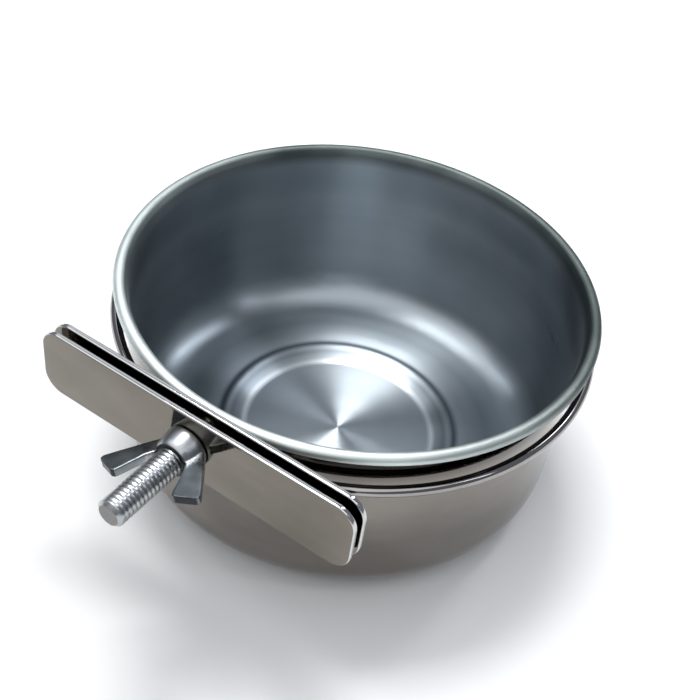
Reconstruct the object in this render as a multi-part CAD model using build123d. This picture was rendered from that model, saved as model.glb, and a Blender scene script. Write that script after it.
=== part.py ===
from build123d import *
import math
import os

# Clamp-on feeding cup: a deep-drawn steel cup standing in a wire ring, with a clamp of two
# steel plates, a welded stud and a wing nut that grips the wire mesh of a cage.
# Millimetres. Origin: centre of the cup's underside. +Z up, the stud points along -Y,
# and the clamp plates run along X.

# ---- driving dimensions -------------------------------------------------------------------
sheet = 0.7                    # cup sheet thickness
rim_radius = 54.0              # outside of the rolled rim
cup_height = 49.3              # underside to the top of the rolled rim
curl_radius = 1.35             # outside radius of the rolled rim's curl
curl_end = -110                # where the curl stops, degrees round its own centre
wall_low_radius = 51.0         # outside of the wall where the bottom corner starts
corner_radius = 9.0            # outside radius of the bottom corner
step_height = 1.8              # the middle disc stands this much below the rest of the bottom
step_outer_radius = 29.5       # where the slanted step starts
disc_radius = 23.5             # where the slanted step ends in the flat disc
step_bend = 1.2                # bend radius at both ends of the slanted step

wire_radius = 1.2              # holder ring's wire
ring_radius = 53.5             # middle of the ring's wire
ring_height = 39.8             # middle of the ring's wire above the cup's underside
ring_seat = 0.2                # the ring is pressed this flat against the inner plate
weld_radius = 1.1              # weld beads under the wire, against the inner plate
weld_length = 5.0
weld_spacing = 8.0

plate_length = 75.6            # both clamp plates, along X
plate_height = 16.0            # both clamp plates, along Z
plate_thickness = 1.25
plate_corner = 4.5             # plate corner radius
plate_edge = 0.4               # rounding of the plates' stamped edges
plate_lift = 3.6               # middle of the plates above the middle of the ring's wire
clamp_gap = 1.9                # between the two plates as the clamp stands
outer_hole_radius = 3.4        # clearance hole in the outer plate

stud_radius = 2.95             # M6 stud, outside of the thread
stud_pitch = 1.0
thread_depth = 0.58
thread_flat = 0.12             # width of the thread's root
stud_reach = 21.7              # stud's free length in front of the outer plate
stud_head_radius = 4.0         # countersunk weld head in the inner plate
stud_chamfer = 0.7

nut_gap = 0.05                 # between the outer plate and the nut's seat
nut_bore_radius = 3.03         # running fit on the stud
hub_base_radius = 5.0
hub_front_radius = 4.5
hub_height = 5.2
hub_fillet = 0.9
wing_turn = 15.0               # the nut's rest angle about the stud, degrees
wing_thickness = 2.0
wing_tip_fillet = 0.9
wing_edge_fillet = 0.4
# wing outline: distance from the nut's axis, distance from its seat
wing_root = (3.8, 0.4)
wing_heel = (6.5, 2.6)
wing_tip_outer = (12.3, 10.7)
wing_tip_inner = (7.3, 13.0)
wing_throat = (3.9, 5.2)

# ---- worked-out places --------------------------------------------------------------------
half_sheet = sheet / 2
stud_z = ring_height + plate_lift
inner_back_y = ring_seat - ring_radius - wire_radius
inner_front_y = inner_back_y - plate_thickness
outer_back_y = inner_front_y - clamp_gap
outer_front_y = outer_back_y - plate_thickness
nut_seat_y = outer_front_y - nut_gap
stud_length = stud_reach + inner_back_y - outer_front_y


def along_stud(y):
    """A plane across the stud at y, with its own z running out along the stud."""
    return Plane(origin=(0, y, stud_z), x_dir=(1, 0, 0), z_dir=(0, -1, 0))


def on_circle(centre, radius, degrees):
    """The point of a circle at an angle."""
    turn = math.radians(degrees)
    return (centre[0] + radius * math.cos(turn), centre[1] + radius * math.sin(turn))


def arc_through(centre, radius, start, finish):
    """An arc from one angle to another, both in degrees."""
    middle = (start + finish) / 2
    ends_and_middle = [on_circle(centre, radius, angle) for angle in (start, middle, finish)]
    return ThreePointArc(*ends_and_middle)


def cup():
    """The drawn cup: the middle of its sheet traced in section, then turned about Z."""
    curl_centre = (rim_radius - curl_radius, cup_height - curl_radius)
    curl_middle = curl_radius - half_sheet
    corner_centre = (wall_low_radius - corner_radius, step_height + corner_radius)
    corner_middle = corner_radius - half_sheet
    step_foot = (disc_radius, half_sheet)
    step_top = (step_outer_radius, step_height + half_sheet)
    bottom_end = (corner_centre[0], step_height + half_sheet)
    wall_foot = on_circle(corner_centre, corner_middle, 0)
    wall_head = on_circle(curl_centre, curl_middle, 180)
    with BuildPart() as made:
        with BuildSketch(Plane.XZ):
            with BuildLine():
                FilletPolyline((0, half_sheet), step_foot, step_top, bottom_end, radius=step_bend)
                arc_through(corner_centre, corner_middle, -90, 0)
                Line(wall_foot, wall_head)
                arc_through(curl_centre, curl_middle, 180, 0)
                arc_through(curl_centre, curl_middle, 0, curl_end)
            trace(line_width=sheet)
            with Locations((-half_sheet, half_sheet)):
                Rectangle(sheet, 2 * sheet, mode=Mode.SUBTRACT)
        revolve(axis=Axis.Z)
    return made.part


def clamp_plate(back_y, hole_radius):
    """A clamp plate with rounded corners, eased edges and its hole for the stud."""
    with BuildPart() as made:
        with BuildSketch(along_stud(back_y)):
            RectangleRounded(plate_length, plate_height, plate_corner)
        extrude(amount=plate_thickness)
        flats = made.faces().filter_by(Axis.Y)
        fillet(flats.edges(), plate_edge)
        with BuildSketch(along_stud(back_y)):
            Circle(hole_radius)
        extrude(amount=plate_thickness, mode=Mode.SUBTRACT)
    return made.part


def stud_head():
    """The stud's countersunk weld head, flush with both faces of the inner plate."""
    cone = Cone(stud_head_radius, stud_radius, plate_thickness,
                align=(Align.CENTER, Align.CENTER, Align.MIN))
    return along_stud(inner_back_y) * cone


def thread_groove():
    """The V groove of the thread, from just in front of the inner plate past the tip."""
    start = plate_thickness + stud_pitch
    path = Helix(pitch=stud_pitch, height=stud_length - start + stud_pitch,
                 radius=stud_radius, center=(0, 0, start))
    proud = 0.15
    mouth = stud_pitch * (1 + proud / thread_depth) - 0.1
    with BuildSketch(Plane(origin=path @ 0, x_dir=(1, 0, 0), z_dir=path % 0)) as profile:
        with BuildLine():
            Polyline((-thread_depth, -thread_flat / 2), (-thread_depth, thread_flat / 2),
                     (proud, mouth / 2), (proud, -mouth / 2), close=True)
        make_face()
    return sweep(profile.sketch, path=path, is_frenet=True)


def clamp_stud():
    """Threaded stud with its countersunk weld head."""
    shank = Cylinder(stud_radius, stud_length, align=(Align.CENTER, Align.CENTER, Align.MIN))
    shank = chamfer(shank.edges().sort_by(Axis.Z)[-1], stud_chamfer)
    return along_stud(inner_back_y) * (shank - thread_groove()) + stud_head()


def inner_plate():
    """The plate that is welded to the ring and carries the stud."""
    return clamp_plate(inner_back_y, stud_radius) - stud_head()


def outer_plate():
    """The loose plate that slides on the stud."""
    return clamp_plate(outer_back_y, outer_hole_radius)


def in_front_of_inner_plate():
    """A block that fills everything on the clamp's side of the inner plate's back face."""
    size = 4 * rim_radius
    return Pos(0, inner_back_y - size / 2, ring_height) * Box(size, size, size)


def ring_wire():
    """The holder's wire ring, pressed flat where it meets the inner plate."""
    return Pos(0, 0, ring_height) * Torus(ring_radius, wire_radius) - in_front_of_inner_plate()


def ring_welds():
    """Two weld beads in the corner under the wire, trimmed to the plate and the wire."""
    bead = Rot(0, 90, 0) * Cylinder(weld_radius, weld_length - 2 * weld_radius)
    for end in (-1, 1):
        bead += Pos(end * (weld_length / 2 - weld_radius), 0, 0) * Sphere(weld_radius)
    corner_z = ring_height - wire_radius
    beads = []
    for side in (-1, 1):
        placed = Pos(side * weld_spacing / 2, inner_back_y, corner_z) * bead
        beads += (placed - in_front_of_inner_plate() - ring_wire()).solids()
    return Compound(children=beads)


def wing_blade(side):
    """One wing: a flat blade that leans forward from the hub, with rounded tip and edges."""
    hub_points = [(0, hub_height - hub_fillet), (0, 0)]
    points = [wing_root, wing_heel, wing_tip_outer, wing_tip_inner, wing_throat] + hub_points
    outline = [(side * x, y) for x, y in points]
    with BuildPart() as made:
        with BuildSketch(Plane.XZ):
            with BuildLine():
                Polyline(*outline, close=True)
            make_face()
            tips = [corner for corner in vertices() if abs(corner.X) > wing_heel[0]]
            fillet(tips, wing_tip_fillet)
        extrude(amount=wing_thickness / 2, both=True)
        sides = made.faces().filter_by(Axis.Y)
        fillet(sides.edges(), wing_edge_fillet)
    return made.part


def wing_nut():
    """Wing nut: tapered hub, two wings and a bore, turned to its rest angle on the stud."""
    hub = Cone(hub_base_radius, hub_front_radius, hub_height,
               align=(Align.CENTER, Align.CENTER, Align.MIN))
    hub = fillet(hub.edges().sort_by(Axis.Z)[-1], hub_fillet)
    body = hub + wing_blade(-1) + wing_blade(1) - Cylinder(nut_bore_radius, 4 * hub_height)
    return along_stud(nut_seat_y) * Rot(0, 0, wing_turn) * body


sub_parts = {
    "cup": cup(),
    "holder_ring": ring_wire(),
    "inner_clamp_plate": inner_plate(),
    "clamp_stud": clamp_stud(),
    "ring_welds": ring_welds(),
    "outer_clamp_plate": outer_plate(),
    "wing_nut": wing_nut(),
}

os.makedirs("parts", exist_ok=True)
for node, shape in sub_parts.items():
    export_step(shape, f"parts/{node}.step")
    print(node, round(shape.volume, 1), len(shape.solids()), shape.bounding_box())
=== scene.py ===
"""Looks of the clamp-on feeding cup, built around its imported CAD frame. Metres, +Z up.

The cup stands at the origin, the stud points along -Y and the clamp plates run along X.
"""
import math

import bpy
import numpy as np
from mathutils import Matrix, Vector


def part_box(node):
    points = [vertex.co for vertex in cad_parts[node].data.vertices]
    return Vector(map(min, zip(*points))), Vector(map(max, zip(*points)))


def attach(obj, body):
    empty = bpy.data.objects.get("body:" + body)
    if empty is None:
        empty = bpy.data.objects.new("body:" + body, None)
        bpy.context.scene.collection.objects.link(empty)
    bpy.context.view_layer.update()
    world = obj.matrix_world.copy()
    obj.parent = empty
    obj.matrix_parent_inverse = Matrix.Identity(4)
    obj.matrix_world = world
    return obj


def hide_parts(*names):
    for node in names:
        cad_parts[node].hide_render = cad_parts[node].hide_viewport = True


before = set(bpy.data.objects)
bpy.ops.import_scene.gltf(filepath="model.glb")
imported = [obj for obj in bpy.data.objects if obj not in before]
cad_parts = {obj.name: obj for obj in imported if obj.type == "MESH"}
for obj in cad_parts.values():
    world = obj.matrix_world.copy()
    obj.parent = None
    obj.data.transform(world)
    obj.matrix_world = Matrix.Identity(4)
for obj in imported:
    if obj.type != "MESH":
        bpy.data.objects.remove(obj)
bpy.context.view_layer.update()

MM = 0.001
TAU = 2 * math.pi

# ---- places that the frame gives ------------------------------------------------------------
_, cup_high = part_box("cup")
ring_low, ring_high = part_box("holder_ring")
weld_low, weld_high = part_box("ring_welds")
inner_low, inner_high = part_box("inner_clamp_plate")
outer_low, outer_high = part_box("outer_clamp_plate")
stud_low, stud_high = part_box("clamp_stud")
_, nut_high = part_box("wing_nut")

rim_radius = cup_high.x
cup_height = cup_high.z
wire_radius = (ring_high.z - ring_low.z) / 2
ring_radius = ring_high.x - wire_radius
ring_height = (ring_high.z + ring_low.z) / 2
plate_length = outer_high.x - outer_low.x
plate_height = outer_high.z - outer_low.z
plate_thickness = inner_high.y - inner_low.y
stud_height = (stud_high.z + stud_low.z) / 2
stud_length = stud_high.y - stud_low.y
nut_seat = nut_high.y

# ---- sizes that the frame does not give -----------------------------------------------------
half_sheet = 0.35 * MM
curl_middle = 1.0 * MM               # radius of the middle of the rolled rim's sheet
curl_start = math.radians(150)       # where the flared wall runs into the rolled rim
curl_end = math.radians(-110)
curl_points = 60
flare_height = 4.6 * MM              # below the top, where the wall starts to flare
wall_foot_radius = 50.42 * MM        # where the wall and the bottom would meet unrounded
wall_corner = 8.65 * MM
step_height = 1.8 * MM
step_outer = 29.5 * MM
disc_radius = 23.5 * MM
weld_length = 5.0 * MM
plate_corner = 4.5 * MM
plate_edge = 0.4 * MM                # rounding of the plates' stamped edges
outer_hole = 3.4 * MM
stud_radius = 2.95 * MM
stud_pitch = 1.0 * MM
thread_depth = 0.07 * MM             # to the rounded root of the worn, rolled thread
thread_run_in = 1.2 * MM             # the thread reaches its depth over this length
stud_head_radius = 4.0 * MM
stud_chamfer = 0.7 * MM
nut_turn = math.radians(15)          # the nut's rest angle about the stud
hub_radius = 5.0 * MM                # the nut's wings start here

# outlines of the wing nut, in millimetres: distance from its axis, distance from its seat
hub_outline = [(0, 0), (4.55, 0), (4.8, 0.25), (4.75, 1.2), (4.5, 2.6), (4.25, 3.7), (3.95, 4.5),
               (3.6, 4.9), (0, 4.9)]
wing_outline = [(3.4, 0.3), (5.0, 0.9), (6.5, 2.6), (12.1, 10.2), (12.2, 11.0), (11.6, 11.5),
                (8.0, 12.8), (7.2, 12.6), (6.7, 11.6), (4.9, 6.6), (3.9, 5.0), (2.6, 3.6)]
bore_outline = [(0, -1), (3.6, -1), (3.6, -0.02), (3.03, 0.5), (3.03, 4.75), (3.45, 5.22),
                (3.45, 9), (0, 9)]


# ---- mesh building --------------------------------------------------------------------------
def in_metres(outline):
    """An outline given in millimetres, in metres."""
    return [(across * MM, along * MM) for across, along in outline]


def piece_from(name, vertices, faces):
    """A smooth-shaded mesh object."""
    mesh = bpy.data.meshes.new(name)
    mesh.from_pydata([tuple(v) for v in vertices], [], faces)
    mesh.polygons.foreach_set("use_smooth", [True] * len(mesh.polygons))
    mesh.update()
    made = bpy.data.objects.new(name, mesh)
    bpy.context.scene.collection.objects.link(made)
    return made


def grid_faces(rows, columns, close_rows=False, first=0):
    """Quads over a grid whose columns close on themselves."""
    faces = []
    for i in range(rows if close_rows else rows - 1):
        above = (i + 1) % rows
        for j in range(columns):
            beside = (j + 1) % columns
            faces.append((first + i * columns + j, first + i * columns + beside,
                          first + above * columns + beside, first + above * columns + j))
    return faces


def lathe(name, profile, segments, shape=None):
    """Turns a profile of (radius, height) points, which starts and ends on the axis, about Z."""
    turns = np.linspace(0, TAU, segments, endpoint=False)
    inner = np.array(profile[1:-1])
    radius = np.repeat(inner[:, :1], segments, axis=1)
    height = np.repeat(inner[:, 1:], segments, axis=1)
    if shape:
        radius, height = shape(radius, height, turns)
    grid = np.stack([radius * np.cos(turns), radius * np.sin(turns), height], axis=-1)
    vertices = [(0, 0, profile[0][1])] + list(grid.reshape(-1, 3)) + [(0, 0, profile[-1][1])]
    rows = len(inner)
    last = len(vertices) - 1
    start = 1 + (rows - 1) * segments
    faces = [(0, 1 + j, 1 + (j + 1) % segments) for j in range(segments)]
    faces += [face[::-1] for face in grid_faces(rows, segments, first=1)]
    faces += [(last, start + (j + 1) % segments, start + j) for j in range(segments)]
    return piece_from(name, vertices, faces)


def arc(centre, radius, start, finish, count):
    """Points of an arc in a plane, both ends included."""
    angles = np.linspace(start, finish, count)
    return [(centre[0] + radius * math.cos(a), centre[1] + radius * math.sin(a)) for a in angles]


def rounded_path(corners, radii, spacing):
    """A polyline with its inner corners rounded, as closely spaced points."""
    degrees_a_point = 5
    path = [np.array(corners[0], float)]
    for before, corner, after, radius in zip(corners, corners[1:], corners[2:], radii):
        before, corner, after = (np.array(p, float) for p in (before, corner, after))
        into = (corner - before) / np.linalg.norm(corner - before)
        out = (after - corner) / np.linalg.norm(after - corner)
        turn = math.acos(np.clip(into @ out, -1, 1))
        side = math.copysign(1, into[0] * out[1] - into[1] * out[0])
        start = corner - into * radius * math.tan(turn / 2)
        centre = start + side * radius * np.array([-into[1], into[0]])
        path.append(start)
        first = math.atan2(*(start - centre)[::-1])
        count = max(4, int(math.degrees(turn) / degrees_a_point))
        path += [np.array(p) for p in arc(centre, radius, first, first + side * turn, count)[1:]]
    path.append(np.array(corners[-1], float))
    points = []
    for a, b in zip(path, path[1:]):
        count = max(1, int(np.linalg.norm(b - a) / spacing))
        points += [a + (b - a) * i / count for i in range(count)]
    return points + [path[-1]]


def sheet_profile(middle):
    """Both faces of a sheet round its middle line, and the rounded end between them."""
    middle = np.array(middle)
    along = np.concatenate([[0], np.cumsum(np.linalg.norm(np.diff(middle, axis=0), axis=1))])
    tangent = np.gradient(middle, along, axis=0)
    tangent /= np.linalg.norm(tangent, axis=1, keepdims=True)
    normal = np.stack([-tangent[:, 1], tangent[:, 0]], axis=1)
    upper = middle + normal * half_sheet
    lower = middle - normal * half_sheet
    facing = math.atan2(normal[-1][1], normal[-1][0])
    end_cap = arc(middle[-1], half_sheet, facing, facing - math.pi, 7)[1:-1]
    upper[0][0] = lower[0][0] = 0
    return [tuple(p) for p in upper], end_cap, [tuple(p) for p in lower[::-1]]


def apply_modifiers(piece):
    """Replaces the piece's mesh with what its modifiers make of it."""
    shown = piece.evaluated_get(bpy.context.evaluated_depsgraph_get())
    made = bpy.data.meshes.new_from_object(shown)
    piece.modifiers.clear()
    piece.data = made


def melt(body, others, voxel, smoothing):
    """Joins closed shapes into one rounded surface."""
    with bpy.context.temp_override(active_object=body, object=body,
                                   selected_editable_objects=[body, *others]):
        bpy.ops.object.join()
    remesh = body.modifiers.new("melt", "REMESH")
    remesh.mode = "VOXEL"
    remesh.voxel_size = voxel
    smooth = body.modifiers.new("smooth", "SMOOTH")
    smooth.factor = 0.5
    smooth.iterations = smoothing
    apply_modifiers(body)


def cut_away(body, cutter):
    """Takes the cutter's shape out of the body, and the cutter out of the scene."""
    cut = body.modifiers.new("cut", "BOOLEAN")
    cut.operation = "DIFFERENCE"
    cut.object = cutter
    cut.solver = "EXACT"
    apply_modifiers(body)
    bpy.data.objects.remove(cutter)


def sharpen(piece, degrees):
    """Smooth shading except across edges sharper than an angle."""
    mesh = piece.data
    mesh.polygons.foreach_set("use_smooth", [True] * len(mesh.polygons))
    mesh.set_sharp_from_angle(angle=math.radians(degrees))


def finish(piece, materials, node, body, slot):
    """Gives a piece its materials and its body, and hides its CAD node. The slot argument is not
    used.
    """
    for material in materials:
        piece.data.materials.append(material)
    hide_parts(node)
    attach(piece, body)


# ---- materials ------------------------------------------------------------------------------
class Shader:
    """A node material with a Principled surface, and short calls to add to it."""

    def __init__(self, name, **surface):
        self.material = bpy.data.materials.new(name)
        self.material.use_nodes = True
        self.tree = self.material.node_tree
        self.surface = self.tree.nodes["Principled BSDF"]
        for socket, value in surface.items():
            self.surface.inputs[socket.replace("_", " ")].default_value = value

    def node(self, kind, inputs=(), **settings):
        """A new node; inputs is a list of (socket, value or output socket)."""
        made = self.tree.nodes.new(kind)
        for setting, value in settings.items():
            setattr(made, setting, value)
        for socket, value in inputs:
            if isinstance(value, bpy.types.NodeSocket):
                self.tree.links.new(value, made.inputs[socket])
            else:
                made.inputs[socket].default_value = value
        return made

    def give(self, socket, value):
        """Feeds one of the surface's own inputs."""
        self.tree.links.new(value, self.surface.inputs[socket])

    def place(self):
        """Coordinates in the object's own metres."""
        return self.node("ShaderNodeTexCoord").outputs["Object"]

    def scaled(self, vector, scale):
        """Coordinates stretched by a different factor each way."""
        return self.node("ShaderNodeMapping", [("Vector", vector), ("Scale", scale)]).outputs[0]

    def apart(self, vector):
        """The x, y and z of a vector."""
        return self.node("ShaderNodeSeparateXYZ", [("Vector", vector)]).outputs

    def facing(self, direction):
        """How far the surface faces along an axis of the object, one when square to it."""
        normal = self.node("ShaderNodeTexCoord").outputs["Normal"]
        return self.node("ShaderNodeVectorMath", [(0, normal), (1, direction)],
                         operation="DOT_PRODUCT").outputs["Value"]

    def noise(self, vector, scale, detail=3.0):
        """Cloudy noise in space, mostly between 0.3 and 0.7."""
        inputs = [("Vector", vector), ("Scale", scale), ("Detail", detail)]
        return self.node("ShaderNodeTexNoise", inputs).outputs["Fac"]

    def line_noise(self, distance, scale, detail):
        """Noise that changes along one distance only."""
        inputs = [("W", distance), ("Scale", scale), ("Detail", detail)]
        return self.node("ShaderNodeTexNoise", inputs, noise_dimensions="1D").outputs["Fac"]

    def maths(self, operation, a, b=0.0):
        """One step of arithmetic."""
        return self.node("ShaderNodeMath", [(0, a), (1, b)], operation=operation).outputs[0]

    def spread(self, value, low, high, from_low=0.3, from_high=0.7):
        """Maps a value onto the range low to high, from the range of a noise unless given."""
        inputs = [("Value", value), ("From Min", from_low), ("From Max", from_high),
                  ("To Min", low), ("To Max", high)]
        return self.node("ShaderNodeMapRange", inputs).outputs[0]

    def blend(self, factor, first, second):
        """A colour between two fixed ones, by a factor."""
        ramp = self.node("ShaderNodeValToRGB", [("Fac", factor)])
        ramp.color_ramp.elements[0].color = (*first, 1)
        ramp.color_ramp.elements[1].color = (*second, 1)
        return ramp.outputs["Color"]

    def mix(self, factor, first, second):
        """A colour between two that may come from other nodes, by a factor."""
        made = self.node("ShaderNodeMix", data_type="RGBA")
        for socket, value in ((0, factor), (6, first), (7, second)):
            if isinstance(value, bpy.types.NodeSocket):
                self.tree.links.new(value, made.inputs[socket])
            else:
                made.inputs[socket].default_value = value if socket == 0 else (*value, 1)
        return made.outputs[2]

    def grain_round_z(self):
        """Lays the brushed grain round the Z axis."""
        tangent = self.node("ShaderNodeTangent", direction_type="RADIAL", axis="Z")
        self.give("Tangent", tangent.outputs[0])

    def bump(self, height, distance, strength, under=None):
        """A bumped normal, on top of another one if given."""
        inputs = [("Height", height), ("Distance", distance), ("Strength", strength)]
        if under:
            inputs.append(("Normal", under))
        return self.node("ShaderNodeBump", inputs).outputs[0]


def along_section(shader, place):
    """Distance along the cup's section: radius plus height grows from the middle to the rim."""
    flat = shader.node("ShaderNodeVectorMath", [(0, place), (1, (1, 1, 0))],
                       operation="MULTIPLY").outputs[0]
    radius = shader.node("ShaderNodeVectorMath", [(0, flat)], operation="LENGTH").outputs["Value"]
    _, _, height = shader.apart(place)
    return shader.maths("ADD", radius, height)


def ring_mask(shader, value, middle, width):
    """One on a thin ring at a distance, falling to nothing at its width."""
    off = shader.maths("ABSOLUTE", shader.maths("SUBTRACT", value, middle))
    return shader.spread(off, 1.0, 0.0, from_low=0.0, from_high=width)


def rim_colour_painted_light(shader, place):
    """Light satin steel, with painted sheen on the side of the clamp and painted shade on the far
    side.
    """
    dark, bright = (0.105, 0.126, 0.122), (0.80, 0.87, 0.855)
    x, y, _ = shader.apart(place)
    away = shader.maths("ADD", shader.maths("MULTIPLY", x, 0.2), y)
    # painted light: brightest on the clamp side, painted shade on the far side
    painted_lit_side = shader.spread(away, 1.0, 0.0, from_low=-rim_radius, from_high=0.46 * rim_radius)
    patches = shader.spread(shader.noise(place, scale=90.0), -0.06, 0.06)
    return shader.blend(shader.maths("ADD", painted_lit_side, patches), dark, bright)


def satin_inside():
    """Spun satin steel: fine grooves run round the cup; painted shade lies over the outer bottom,
    the step's slope and the groove outside the step, and a painted highlight on the bead of the
    step.
    """
    shader = Shader("cup_inside_satin", Metallic=1.0, Anisotropic=0.93, Anisotropic_Rotation=0.25)
    place = shader.place()
    along = along_section(shader, place)
    grooves = shader.line_noise(along, scale=900.0, detail=4.0)
    bands = shader.line_noise(along, scale=160.0, detail=2.0)
    clouds = shader.noise(place, scale=38.0)
    tone = shader.maths("ADD", shader.maths("MULTIPLY", bands, 0.25),
                        shader.maths("MULTIPLY", clouds, 0.75))
    steel = shader.blend(shader.spread(tone, 0.0, 1.0), (0.32, 0.358, 0.392), (0.415, 0.458, 0.488))
    # rings along the section: middle, width, strength and colour. The first three are painted
    # shade, over the outer bottom, on the step's slope and in the groove outside the step; the last
    # is a painted highlight on the step's bead.
    painted_bottom_shade = (40.0 * MM, 11.0 * MM, 0.65, (0.12, 0.145, 0.165))
    painted_slope_shade = (28.4 * MM, 2.8 * MM, 0.75, (0.16, 0.185, 0.21))
    painted_groove_shade = (step_outer + step_height + 0.15 * MM, 1.5 * MM, 0.92, (0.07, 0.09, 0.11))
    painted_bead_highlight = (disc_radius + 1.0 * MM, 1.3 * MM, 0.7, (0.78, 0.82, 0.85))
    for middle, width, strength, colour in (painted_bottom_shade, painted_slope_shade, painted_groove_shade,
                                            painted_bead_highlight):
        mask = ring_mask(shader, along, middle, width)
        steel = shader.mix(shader.maths("MULTIPLY", mask, strength), steel, colour)
    _, _, height = shader.apart(place)
    near_rim = shader.spread(height, 0.0, 1.0, from_low=cup_height - flare_height,
                             from_high=cup_height - 1.2 * MM)
    # towards the rim, the rim's colour with its painted sheen and painted shade
    steel = shader.mix(near_rim, steel, rim_colour_painted_light(shader, place))
    shader.give("Base Color", steel)
    shader.give("Roughness", shader.spread(tone, 0.27, 0.36))
    shader.give("Normal", shader.bump(grooves, distance=0.01 * MM, strength=0.35))
    shader.grain_round_z()
    return shader.material


def satin_rim():
    """The rolled rim, worn to a soft sheen by stacking and washing; its colour holds painted sheen
    and painted shade.
    """
    shader = Shader("cup_rim_satin", Metallic=1.0)
    place = shader.place()
    grain = shader.noise(place, scale=3000.0)
    shader.give("Base Color", rim_colour_painted_light(shader, place))
    shader.give("Roughness", shader.spread(shader.noise(place, scale=90.0), 0.48, 0.56))
    shader.give("Normal", shader.bump(grain, distance=0.01 * MM, strength=0.3))
    return shader.material


def polished_steel(name, dark, light, edge=None, painted_shade_above=None):
    """Mirror-polished steel with faint smears, orange peel and hairline scratches.

    With an edge colour, whatever does not face along Y takes that colour as a painted highlight.
    From a given height upwards painted shade darkens the steel more and more: the shade under the
    rim.
    """
    shader = Shader(name, Metallic=1.0)
    place = shader.place()
    smears = shader.noise(shader.scaled(place, (1.0, 1.0, 2.4)), scale=60.0)
    steel = shader.blend(shader.spread(smears, 0.0, 1.0), dark, light)
    if edge:
        # painted highlight on the edges, which do not face along Y
        squareness = shader.maths("ABSOLUTE", shader.facing((0, 1, 0)))
        off_face = shader.spread(squareness, 1.0, 0.0, from_low=0.80, from_high=0.96)
        steel = shader.mix(off_face, steel, edge)
    if painted_shade_above:
        # painted shade under the rim, growing over 4 mm upwards
        _, _, height = shader.apart(place)
        under_rim_shade = shader.spread(height, 0.0, 1.0, from_low=painted_shade_above,
                                   from_high=painted_shade_above + 4 * MM)
        steel = shader.mix(under_rim_shade, steel, (0.060, 0.056, 0.053))
    peel = shader.noise(place, scale=700.0, detail=2.0)
    hairlines = shader.noise(shader.scaled(place, (0.05, 1.0, 1.0)), scale=5000.0, detail=2.0)
    peeled = shader.bump(peel, distance=0.006 * MM, strength=0.5)
    shader.give("Base Color", steel)
    shader.give("Roughness", shader.spread(smears, 0.05, 0.11))
    shader.give("Normal", shader.bump(hairlines, distance=0.004 * MM, strength=0.5, under=peeled))
    return shader.material


def cast_nut_metal():
    """Dull plating over a cast surface; a painted highlight makes the hub brighter than the wings,
    and painted dark reflection darkens the faces that look towards the stud's end.
    """
    hub_painted_highlight, painted_dark_reflection = (0.40, 0.42, 0.435), (0.035, 0.037, 0.04)
    shader = Shader("nut_cast", Metallic=1.0)
    place = shader.place()
    grain = shader.noise(place, scale=1900.0, detail=4.0)
    patches = shader.noise(place, scale=260.0)
    x, _, z = shader.apart(place)
    up = shader.maths("SUBTRACT", z, stud_height)
    reach = shader.maths("SQRT", shader.maths("ADD", shader.maths("MULTIPLY", x, x),
                                              shader.maths("MULTIPLY", up, up)))
    on_wing = shader.spread(reach, 0.0, 1.0, from_low=hub_radius - 0.3 * MM,
                            from_high=hub_radius + 0.7 * MM)
    dull = shader.blend(shader.spread(patches, 0.0, 1.0), (0.16, 0.18, 0.192),
                        (0.25, 0.275, 0.29))
    # the hub lighter than the wings by a painted highlight
    nut = shader.mix(on_wing, hub_painted_highlight, dull)
    # painted dark reflection on the faces that look along the stud towards its end
    ends = shader.spread(shader.facing((0, -1, 0)), 0.0, 1.0, from_low=0.55, from_high=0.8)
    shader.give("Base Color", shader.mix(ends, nut, painted_dark_reflection))
    shader.give("Roughness", shader.spread(patches, 0.26, 0.36))
    shader.give("Normal", shader.bump(grain, distance=0.04 * MM, strength=0.4))
    return shader.material


def bright_thread():
    """Bright plating over the rolled thread, and a painted dark reflection on its cut end."""
    shader = Shader("stud_bright", Metallic=1.0)
    patches = shader.noise(shader.place(), scale=420.0)
    plated = shader.blend(shader.spread(patches, 0.0, 1.0), (0.36, 0.375, 0.385),
                          (0.48, 0.495, 0.505))
    # painted dark reflection on the end face
    end_painted_dark = shader.spread(shader.facing((0, -1, 0)), 0.0, 1.0, from_low=0.8, from_high=0.95)
    shader.give("Base Color", shader.mix(end_painted_dark, plated, (0.19, 0.185, 0.18)))
    shader.give("Roughness", shader.spread(patches, 0.24, 0.32))
    return shader.material


def weld_metal():
    """A bead of weld, darkened by the heat."""
    shader = Shader("weld_bead", Metallic=1.0)
    heat = shader.noise(shader.place(), scale=500.0, detail=4.0)
    shader.give("Base Color", shader.blend(shader.spread(heat, 0.0, 1.0),
                                           (0.16, 0.13, 0.11), (0.42, 0.38, 0.36)))
    shader.give("Roughness", shader.spread(heat, 0.3, 0.5))
    shader.give("Normal", shader.bump(heat, distance=0.08 * MM, strength=0.5))
    return shader.material


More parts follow.
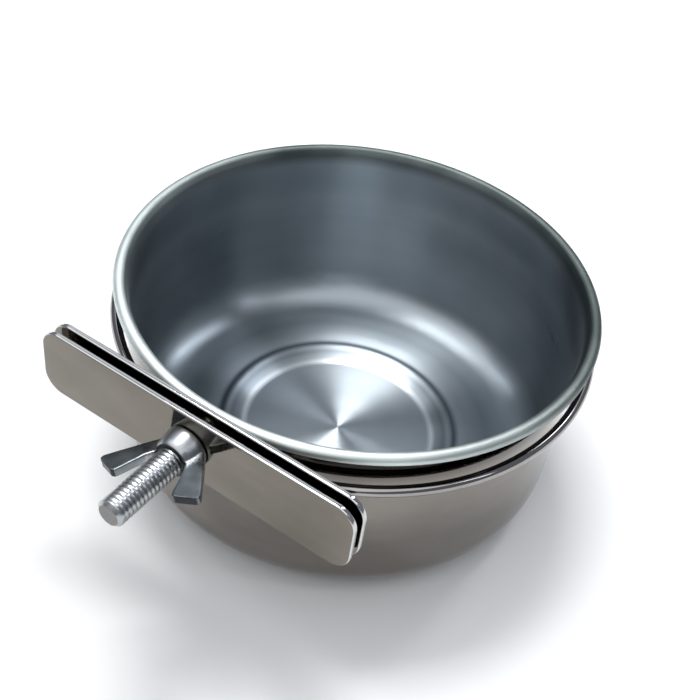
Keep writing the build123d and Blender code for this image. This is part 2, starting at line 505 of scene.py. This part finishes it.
# ---- the cup --------------------------------------------------------------------------------
def cup_middle_line():
    """The middle of the cup's sheet, from the axis to the end of the rolled rim.

    The stamped step swells a little at its top and dips into a soft groove outside it.
    The wall flares softly into the rolled rim.
    """
    curl_centre = (rim_radius - half_sheet - curl_middle, cup_height - half_sheet - curl_middle)
    curl = arc(curl_centre, curl_middle, curl_start, curl_end, curl_points)
    low = half_sheet
    high = step_height + half_sheet
    disc_edge = (disc_radius - 0.8 * MM, low)
    step_foot = (disc_radius + 0.5 * MM, low + 0.22 * MM)
    step_swell = (step_outer - 1.4 * MM, high + 0.04 * MM)
    groove = (step_outer + 0.2 * MM, high - 0.16 * MM)
    groove_end = (step_outer + 3.6 * MM, high + 0.06 * MM)
    wall_foot = (wall_foot_radius, high)
    flare_foot = (curl[0][0] - 0.9 * MM, cup_height - flare_height)
    flare_bend = (curl[0][0] - 0.48 * MM, curl[0][1] - 0.83 * MM)
    bends = [(disc_edge, 1.2 * MM), (step_foot, 5.0 * MM), (step_swell, 2.6 * MM),
             (groove, 2.2 * MM), (groove_end, 9.0 * MM), (wall_foot, wall_corner),
             (flare_foot, 14.0 * MM), (flare_bend, 2.4 * MM)]
    corners = [(0, low)] + [corner for corner, _ in bends] + [curl[0]]
    wall = rounded_path(corners, [radius for _, radius in bends], spacing=0.9 * MM)
    return wall[:-1] + curl


def slightly_uneven(radius, height, turns):
    """A drawn cup is never quite round: some hundredths of a millimetre, more up the wall."""
    share = np.clip(height / cup_height, 0, 1)
    oval = 0.05 * np.sin(2 * turns + 0.7)
    lobes = 0.022 * np.sin(5 * turns + 2.1)
    ripples = 0.010 * np.sin(11 * turns + 0.4 + 60 * height)
    inwards = 0.07                   # so that the waves stay within the CAD box
    return radius + (oval + lobes + ripples - inwards) * MM * share, height


def build_cup():
    """The drawn cup: satin inside, a softer rim and a polished outside."""
    segments = 288
    upper, end_cap, lower = sheet_profile(cup_middle_line())
    profile = upper + end_cap + lower
    cup = lathe("cup_bowl", profile, segments, slightly_uneven)
    # the outside's colour holds painted shade above the ring, under the rim
    outside = polished_steel("cup_outside_polished", (0.212, 0.195, 0.176), (0.248, 0.230, 0.209),
                             painted_shade_above=ring_height - wire_radius)
    finish(cup, [satin_inside(), satin_rim(), outside], "cup", "cup", "cup_steel")
    rim_from = len(upper) - curl_points
    rim_to = rim_from + curl_points * 5 // 8       # past the outermost line of the curl
    zones = [0 if i < rim_from else 1 if i < rim_to else 2 for i in range(len(profile) - 3)]
    zones = [zones[0], *zones, zones[-1]]          # with the fans of triangles at the axis
    cup.data.polygons.foreach_set("material_index", list(np.repeat(zones, segments)))


# ---- the holder -----------------------------------------------------------------------------
def build_ring(steel):
    """The holder's wire ring, pressed flat where it meets the inner plate."""
    around, across = 400, 28
    rows = []
    for turn in np.linspace(0, TAU, around, endpoint=False):
        drawn = wire_radius * (1 - 0.008 * (1 + math.sin(9 * turn + 1.3)))
        middle = ring_radius - 0.04 * MM * (1 + math.sin(3 * turn + 0.4))
        for angle in np.linspace(0, TAU, across, endpoint=False):
            out = middle + drawn * math.cos(angle)
            y = max(out * math.sin(turn), inner_high.y)
            rows.append((out * math.cos(turn), y, ring_height + drawn * math.sin(angle)))
    ring = piece_from("ring_wire", rows, grid_faces(around, across, close_rows=True))
    finish(ring, [steel], "holder_ring", "holder", "polished_steel")


def build_welds():
    """Two rippled weld beads in the corner under the wire, against the inner plate."""
    bead_radius = weld_high.y - weld_low.y
    ripples = 7
    along, across = 60, 24
    vertices, faces = [], []
    for start in (weld_low.x, weld_high.x - weld_length):
        first = len(vertices)
        for share in np.linspace(0.01, 0.99, along):
            swell = math.sqrt(1 - (2 * share - 1) ** 2) ** 0.7
            ripple = 0.93 + 0.07 * math.cos(TAU * share * ripples + 0.6)
            radius = bead_radius * swell * ripple
            for angle in np.linspace(0, TAU, across, endpoint=False):
                y = max(inner_high.y, inner_high.y + radius * math.cos(angle))
                vertices.append((start + weld_length * share, y,
                                 ring_low.z + radius * math.sin(angle)))
        faces += grid_faces(along, across, first=first)
        faces.append(tuple(range(first, first + across)))
        last = first + (along - 1) * across
        faces.append(tuple(range(last + across - 1, last - 1, -1)))
    finish(piece_from("weld_beads", vertices, faces), [weld_metal()], "ring_welds", "holder",
           "weld_metal")


# ---- the clamp ------------------------------------------------------------------------------
def plate_outline(inset):
    """Points round a rounded rectangle, from its right edge, as (x, z) about the stud."""
    steps_round_corner, steps_along, steps_across = 12, 44, 8
    half_length, half_height = plate_length / 2, plate_height / 2
    radius = plate_corner - inset
    centres = [(half_length - plate_corner, half_height - plate_corner),
               (plate_corner - half_length, half_height - plate_corner),
               (plate_corner - half_length, plate_corner - half_height),
               (half_length - plate_corner, plate_corner - half_height)]
    points = []
    for i, centre in enumerate(centres):
        facing = (i + 1) * TAU / 4
        points += arc(centre, radius, i * TAU / 4, facing, steps_round_corner + 1)
        following = centres[(i + 1) % 4]
        edge_start = np.array(points[-1])
        edge_end = np.array([following[0] + radius * math.cos(facing),
                             following[1] + radius * math.sin(facing)])
        count = steps_along if i % 2 == 0 else steps_across
        points += [tuple(edge_start + (edge_end - edge_start) * k / count)
                   for k in range(1, count)]
    return np.array(points)


def build_plate(name, node, body, low, high, hole_back, hole_front, steel):
    """A stamped plate with rounded edges, not perfectly flat, round its hole for the stud."""
    unevenness = 0.018 * MM
    back, front = high.y, low.y
    outer, inner = plate_outline(0), plate_outline(plate_edge)
    towards = inner / np.linalg.norm(inner, axis=1, keepdims=True)
    shares = np.linspace(0, 1, 22)
    rows = [(towards * hole_back * (1 - f) + inner * f, back) for f in shares]
    for angle in np.linspace(0, TAU / 4, 7)[1:]:
        rows.append((inner + (outer - inner) * math.sin(angle),
                     back - plate_edge * (1 - math.cos(angle))))
    for angle in np.linspace(0, TAU / 4, 7):
        rows.append((outer + (inner - outer) * (1 - math.cos(angle)),
                     front + plate_edge * (1 - math.sin(angle))))
    rows += [(towards * hole_front * (1 - f) + inner * f, front) for f in shares[-2::-1]]
    vertices = []
    for flat, y in rows:
        x, z = flat[:, 0], flat[:, 1]
        wavy = (1 + np.sin(170 * x + 1.1) * np.cos(240 * z)) * 0.5
        bowed = 9.0 * (x / plate_length) ** 2
        vertices += list(np.stack([x, y + (wavy + bowed) * unevenness, z + stud_height], axis=1))
    plate = piece_from(name, vertices, grid_faces(len(rows), len(outer), close_rows=True))
    finish(plate, [steel], node, body, "polished_steel")


def round_stud(radius, turn, distance):
    """A point round the stud's axis, at a distance along it from the back of its head."""
    return (radius * math.cos(turn), stud_high.y - distance, stud_height + radius * math.sin(turn))


def thread_radius(distance, turn):
    """Radius of the rolled thread's surface: a soft wave, up to the chamfered end."""
    phase = (distance / stud_pitch - turn / TAU) % 1
    groove = 0.5 - 0.5 * math.cos(TAU * phase)
    run_in = min(max((distance - plate_thickness) / thread_run_in, 0), 1)
    radius = stud_radius - thread_depth * groove * run_in
    return min(radius, stud_radius - stud_chamfer + max(stud_length - distance, 0))


def build_stud():
    """The clamp's stud: countersunk weld head, rolled thread, chamfered end."""
    across = 72
    spacing = 0.065 * MM
    turns = np.linspace(0, TAU, across, endpoint=False)
    vertices = [round_stud(0, 0, 0)]
    for share in (0.5, 0.98, 1.0):
        vertices += [round_stud(stud_head_radius * share, t, 0) for t in turns]
    for distance in [*np.arange(plate_thickness, stud_length, spacing), stud_length]:
        vertices += [round_stud(thread_radius(distance, t), t, distance) for t in turns]
    inside_edge = 0.93 * (stud_radius - stud_chamfer)     # one more row keeps the edge crisp
    vertices += [round_stud(inside_edge, t, stud_length) for t in turns]
    vertices.append(round_stud(0, 0, stud_length))
    rows = (len(vertices) - 2) // across
    last = len(vertices) - 1
    final = 1 + (rows - 1) * across
    faces = [(0, 1 + (j + 1) % across, 1 + j) for j in range(across)]
    faces += grid_faces(rows, across, first=1)
    faces += [(last, final + j, final + (j + 1) % across) for j in range(across)]
    stud = piece_from("stud_thread", vertices, faces)
    finish(stud, [bright_thread()], "clamp_stud", "holder", "bright_stud")


def wing_blade(side):
    """One wing of the nut, a flat blade that gets thinner outwards."""
    vertices = []
    for face in (-1, 1):
        for x, z in wing_outline:
            half_thickness = 1.08 - 0.018 * x
            vertices.append((side * x * MM, face * half_thickness * MM, z * MM))
    count = len(wing_outline)
    ring = range(count)
    faces = [tuple(ring), tuple(count + i for i in reversed(ring))]
    faces += [(i, count + i, count + (i + 1) % count, (i + 1) % count) for i in ring]
    return piece_from("blade", vertices, faces)


def build_nut():
    """A cast wing nut: hub and wings melted into one surface, then bored."""
    segments = 96
    nut = lathe("nut_wings", in_metres(hub_outline), segments)
    melt(nut, [wing_blade(-1), wing_blade(1)], voxel=0.17 * MM, smoothing=5)
    cut_away(nut, lathe("bore", in_metres(bore_outline), segments))
    z_along_stud = Matrix(((1, 0, 0), (0, 0, -1), (0, 1, 0))).to_4x4()
    nut.data.transform(Matrix.Translation((0, nut_seat, stud_height)) @ z_along_stud
                       @ Matrix.Rotation(nut_turn, 4, "Z"))
    sharpen(nut, degrees=40)
    finish(nut, [cast_nut_metal()], "wing_nut", "nut", "cast_nut")


def build_clamp():
    """The ring, the plates, the stud and the nut."""
    # the plates' edges carry a painted highlight in this edge colour
    steel = polished_steel("clamp_polished", (0.162, 0.148, 0.125), (0.204, 0.187, 0.158),
                           edge=(0.60, 0.60, 0.60))
    build_ring(polished_steel("ring_polished", (0.33, 0.31, 0.305), (0.40, 0.38, 0.375)))
    build_welds()
    build_plate("plate_inner", "inner_clamp_plate", "holder", inner_low, inner_high,
                stud_head_radius, stud_radius, steel)
    build_plate("plate_outer", "outer_clamp_plate", "outer_plate", outer_low, outer_high,
                outer_hole, outer_hole, steel)
    build_stud()
    build_nut()


# ---- stage, lights and camera ---------------------------------------------------------------
def build_floor():
    """A plain pale floor, just below the cup so that their faces never share a plane."""
    reach, gap = 3.0, 0.2 * MM
    floor = piece_from("floor", [(-reach, -reach, 0), (reach, -reach, 0), (reach, reach, 0),
                                 (-reach, reach, 0)], [(0, 1, 2, 3)])
    shader = Shader("floor_pale", Base_Color=(0.90, 0.90, 0.90, 1), Roughness=0.8)
    floor.data.materials.append(shader.material)
    floor.location.z = -gap


def softbox(name, place, width, height, power, colour=(1, 1, 1)):
    """A rectangular lamp that shines at the middle of the cup."""
    aim = Vector((0, 0, 20 * MM))
    light = bpy.data.lights.new(name, "AREA")
    light.shape = "RECTANGLE"
    light.size = width
    light.size_y = height
    light.energy = power
    light.color = colour
    made = bpy.data.objects.new(name, light)
    made.location = place
    made.rotation_mode = "QUATERNION"
    made.rotation_quaternion = (Vector(place) - aim).to_track_quat("Z", "Y")
    bpy.context.scene.collection.objects.link(made)


def build_lights():
    """A wide ceiling, a smaller lamp overhead, and cool windows round about."""
    softbox("overhead_lamp", (-0.30, 0.24, 1.15), width=0.46, height=0.30, power=8.5)
    softbox("ceiling", (-0.10, -0.8, 1.9), width=3.6, height=2.8, power=34)
    softbox("back_window", (-0.75, 1.45, 1.35), width=2.2, height=0.8, power=3.5,
            colour=(0.95, 0.98, 1.0))
    softbox("left_window", (-1.0, -0.08, 1.0), width=0.22, height=0.45, power=0.8,
            colour=(0.90, 0.95, 1.0))
    softbox("right_window", (0.22, 0.90, 1.2), width=0.18, height=0.5, power=3,
            colour=(0.90, 0.94, 1.0))
    softbox("side_strip", (1.0, 0.2, 1.15), width=0.10, height=0.5, power=0.7,
            colour=(0.95, 0.93, 1.0))
    world = bpy.data.worlds.new("studio")
    world.use_nodes = True
    sky = world.node_tree.nodes["Background"]
    sky.inputs["Color"].default_value = (0.50, 0.54, 0.60, 1)
    sky.inputs["Strength"].default_value = 0.44
    bpy.context.scene.world = world


def build_camera():
    """The photograph's viewing angle: right of the clamp and above, with a slight roll."""
    azimuth, elevation, roll = math.radians(27.9), math.radians(42.3), math.radians(9.1)
    distance = 4.84 * rim_radius
    aim = Vector((0, 0, 0.5 * rim_radius))
    back = Vector((math.sin(azimuth) * math.cos(elevation),
                   -math.cos(azimuth) * math.cos(elevation), math.sin(elevation)))
    level_right = Vector((math.cos(azimuth), math.sin(azimuth), 0))
    level_up = back.cross(level_right)
    right = level_right * math.cos(roll) + level_up * math.sin(roll)
    up = back.cross(right)
    camera = bpy.data.objects.new("camera", bpy.data.cameras.new("camera"))
    camera.data.lens = 57.3
    camera.data.sensor_width = 36
    camera.matrix_world = (Matrix.Translation(aim + back * distance)
                           @ Matrix((right, up, back)).transposed().to_4x4())
    bpy.context.scene.collection.objects.link(camera)
    bpy.context.scene.camera = camera


build_cup()
build_clamp()
build_floor()
build_lights()
build_camera()
bpy.context.scene.view_settings.view_transform = "Standard"
